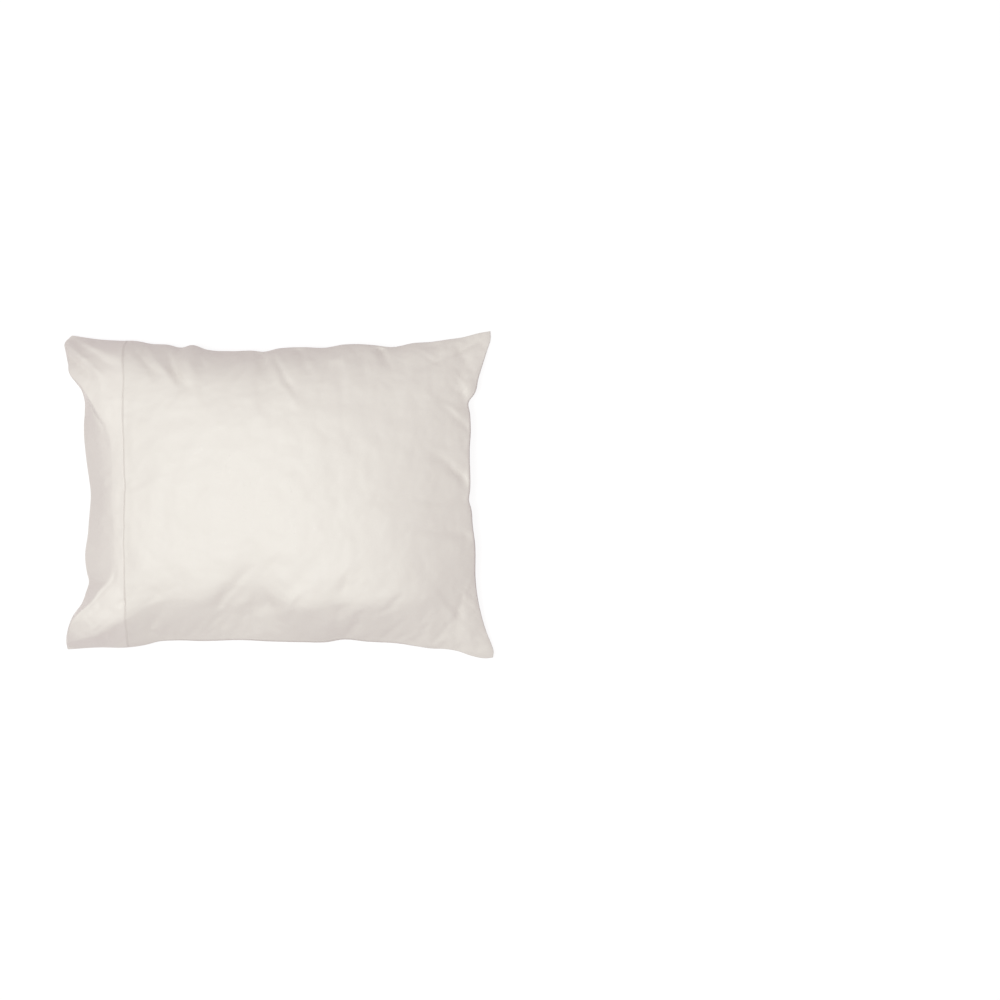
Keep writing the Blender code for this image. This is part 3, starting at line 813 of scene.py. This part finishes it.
stitching = {
    "name": "hemStitches",
    "pitch": 2.7,
    "length": 1.9,
    "taper": 0.6,             # share of a stitch that has its full thickness
    "half": 0.26,             # half the thickness of the thread
    "proud": 0.05,            # how far its middle stands out of the cloth
    "slant": 0.16,            # how far a stitch may turn off the row (radians)
    "slantPitch": 0.7,        # how soon the slant changes from stitch to stitch
    "colour": (0.76, 0.722, 0.668),
    "roughness": 0.5,
    "sheen": 0.2,
    "twistScale": 2500.0,     # fine bumps, as of twisted yarn
    "twistDepth": 0.1,
}


def stitchPlaces(line):  # along a row of points: middle, way along the row, way out of the cloth
    points = np.array([caseMesh.vertices[i].co for i in line])
    normals = np.array([caseMesh.vertices[i].normal for i in line])
    reached = np.concatenate(((0.0,), np.cumsum(np.linalg.norm(np.diff(points, axis=0), axis=1))))
    pitch = stitching["pitch"] * mm
    stations = np.arange(2.0 * pitch, reached[-1] - 2.0 * pitch, pitch)

    def read(values, at):
        return np.stack([np.interp(at, reached, values[:, k]) for k in range(3)], axis=-1)

    way = read(points, stations + 0.5 * pitch) - read(points, stations - 0.5 * pitch)
    return zip(read(points, stations), way, read(normals, stations))


def stitchShape():  # a thread with pointed ends, along X: points and faces
    half = stitching["half"] * mm
    reach = 0.5 * stitching["length"] * mm
    ring = ((1, 0), (0, 1), (-1, 0), (0, -1))
    points = [(-reach, 0.0, 0.0)]
    points += [(end * stitching["taper"] * reach, a * half, b * half) for end in (-1, 1) for a, b in ring]
    points += [(reach, 0.0, 0.0)]
    sides = [(k, (k + 1) % 4) for k in range(4)]
    faces = [(0, 1 + b, 1 + a) for a, b in sides]
    faces += [(1 + a, 1 + b, 5 + b, 5 + a) for a, b in sides]
    faces += [(9, 5 + a, 5 + b) for a, b in sides]
    return points, faces


def threadMaterial():
    thread = bpy.data.materials.new("hemThread")
    thread.use_nodes = True
    nodes, links = thread.node_tree.nodes, thread.node_tree.links
    shader = nodes["Principled BSDF"]
    shader.inputs["Base Color"].default_value = (*stitching["colour"], 1.0)
    shader.inputs["Roughness"].default_value = stitching["roughness"]
    shader.inputs["Sheen Weight"].default_value = stitching["sheen"]
    twist = nodes.new("ShaderNodeTexNoise")
    twist.inputs["Scale"].default_value = stitching["twistScale"]
    twistBump = nodes.new("ShaderNodeBump")
    twistBump.inputs["Distance"].default_value = stitching["twistDepth"] * mm
    place = nodes.new("ShaderNodeTexCoord")
    links.new(place.outputs["Object"], twist.inputs["Vector"])
    links.new(twist.outputs["Fac"], twistBump.inputs["Height"])
    links.new(twistBump.outputs["Normal"], shader.inputs["Normal"])
    return thread


def makeStitches():
    shape, corners = stitchShape()
    allPoints = []
    allFaces = []
    for face in (0, 1):
        line = (face * rows + hemLine) * columns + np.arange(columns)
        for number, (middle, way, out) in enumerate(stitchPlaces(line)):
            way, out = Vector(way).normalized(), Vector(out).normalized()
            chance = noise.noise(Vector((number * stitching["slantPitch"], face * 5.0, 2.0)))
            way = (way + stitching["slant"] * chance * out.cross(way)).normalized()
            side = out.cross(way)
            middle = Vector(middle) + stitching["proud"] * mm * out
            first = len(allPoints)
            allPoints += [middle + x * way + y * side + z * out for x, y, z in shape]
            allFaces += [tuple(first + k for k in corner) for corner in corners]
    mesh = bpy.data.meshes.new(stitching["name"])
    mesh.from_pydata(allPoints, [], allFaces)
    mesh.shade_smooth()
    mesh.materials.append(threadMaterial())
    stitches = bpy.data.objects.new(stitching["name"], mesh)
    bpy.context.scene.collection.objects.link(stitches)
    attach(stitches, "root")
    print("hem stitches:", len(allFaces) // len(corners))


makeStitches()


# Studio: pale floor, soft light, camera straight above.

studio = {
    "floorSize": 8.0,
    "floorDrop": 0.0005,      # a little under the case
    "floorColour": (0.16, 0.16, 0.16),
    "floorRoughness": 0.9,
    "floorGlow": 0.88,        # the floor is lit from below, like a light table
    "world": 0.514,
    "worldColour": (1.0, 0.896, 0.918),
    "keyPlace": (-0.29, -0.17, 3.0),
    "keyAim": (0.0, 0.0, 0.05),
    "keySize": 0.8,
    "keyPower": 48.2,
    "keyColour": (0.925, 1.0, 0.968),
    "camera": (0.340, -0.0085, 4.31),
    "lens": 100.0,
    "sensor": 36.0,
}


def makeStudio():
    scene = bpy.context.scene
    scene.view_settings.view_transform = "Standard"
    bpy.ops.mesh.primitive_plane_add(size=studio["floorSize"], location=(0.0, 0.0, -studio["floorDrop"]))
    floor = bpy.context.object
    floor.name = "floor"
    paper = bpy.data.materials.new("paleFloor")
    paper.use_nodes = True
    shader = paper.node_tree.nodes["Principled BSDF"]
    shader.inputs["Base Color"].default_value = (*studio["floorColour"], 1.0)
    shader.inputs["Roughness"].default_value = studio["floorRoughness"]
    shader.inputs["Emission Color"].default_value = (1.0, 1.0, 1.0, 1.0)
    shader.inputs["Emission Strength"].default_value = studio["floorGlow"]
    floor.data.materials.append(paper)
    floor.visible_diffuse = False    # the pale floor doesn't brighten the sides of the case

    world = bpy.data.worlds.new("softRoom")
    world.use_nodes = True
    background = world.node_tree.nodes["Background"]
    background.inputs["Color"].default_value = (*studio["worldColour"], 1.0)
    background.inputs["Strength"].default_value = studio["world"]
    scene.world = world

    light = bpy.data.lights.new("key", "AREA")
    light.size = studio["keySize"]
    light.energy = studio["keyPower"]
    light.color = studio["keyColour"]
    key = bpy.data.objects.new("key", light)
    key.location = studio["keyPlace"]
    aim = Vector(studio["keyAim"]) - key.location
    key.rotation_euler = aim.to_track_quat("-Z", "Y").to_euler()
    scene.collection.objects.link(key)

    lens = bpy.data.cameras.new("camera")
    lens.lens = studio["lens"]
    lens.sensor_width = studio["sensor"]
    camera = bpy.data.objects.new("camera", lens)
    camera.location = studio["camera"]
    scene.collection.objects.link(camera)
    scene.camera = camera


makeStudio()
print("studio done")
